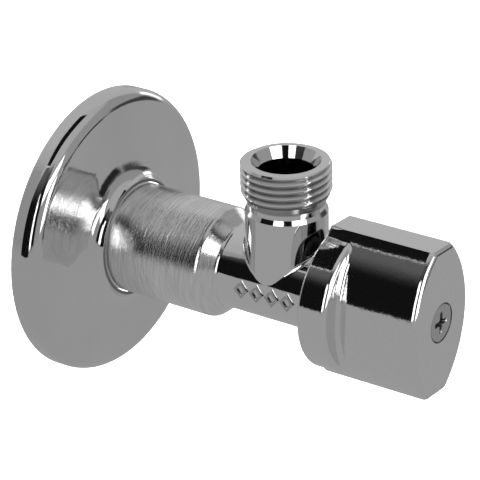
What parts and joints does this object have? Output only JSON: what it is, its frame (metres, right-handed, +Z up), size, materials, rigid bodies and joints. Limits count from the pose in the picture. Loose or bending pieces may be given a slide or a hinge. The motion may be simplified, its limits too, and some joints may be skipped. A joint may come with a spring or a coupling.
{
  "type": "angle stop valve",
  "caption": "Chromed wall-mounted angle stop valve with threaded inlet, upright threaded outlet, turning handle on a non-rising spindle and a sliding round escutcheon.",
  "frame": {"origin": "on the valve axis, at the wall plane, where the inlet thread meets the barrel's back shoulder", "axes": "+Y along the valve axis into the wall, -Y out to the handle, +Z up along the outlet, X across"},
  "size_m": [0.055, 0.0878, 0.055],
  "materials": {
    "body_chrome": "chromed brass forging, brushed on the turned barrel and polished elsewhere",
    "escutcheon_chrome": "chromed pressed sheet, satin face and bright rolled rim",
    "handle_chrome": "polished chromed die casting",
    "brass": "turned",
    "seal_rubber": "matt black nitrile",
    "bearing_plastic": "natural acetal",
    "spring_steel": "stamped spring steel",
    "screw_steel": "plated steel"
  },
  "bodies": {
    "body": {"valve_body": "body_chrome", "headwork_body": "brass", "headwork_o_ring": "seal_rubber"},
    "cover": {"escutcheon": "escutcheon_chrome"},
    "handle": {"spindle": "brass", "spindle_o_ring_inner": "seal_rubber", "spindle_o_ring_outer": "seal_rubber", "thrust_washer": "bearing_plastic", "retaining_clip": "spring_steel", "knob": "handle_chrome", "knob_screw": "screw_steel"},
    "plunger": {"plunger": "brass", "plunger_o_ring": "seal_rubber", "seat_washer": "seal_rubber", "seat_washer_plate": "brass", "seat_washer_screw": "brass"}
  },
  "joints": [
    {"name": "handle_turn", "type": "hinge", "parent": "body", "child": "handle", "pos_m": [0, -0.064, 0], "axis": [0, -1, 0], "range_deg": [0, 1260]},
    {"name": "plunger_lift", "type": "slide", "parent": "body", "child": "plunger", "axis": [0, -1, 0], "range_m": [0, 0.0035]},
    {"name": "escutcheon_slide", "type": "slide", "parent": "body", "child": "cover", "axis": [0, -1, 0], "range_m": [0, 0.018]}
  ],
  "couplings": [
    {"joint": "plunger_lift", "follows": "handle_turn", "m_per_rad": 0.00015915}
  ]
}
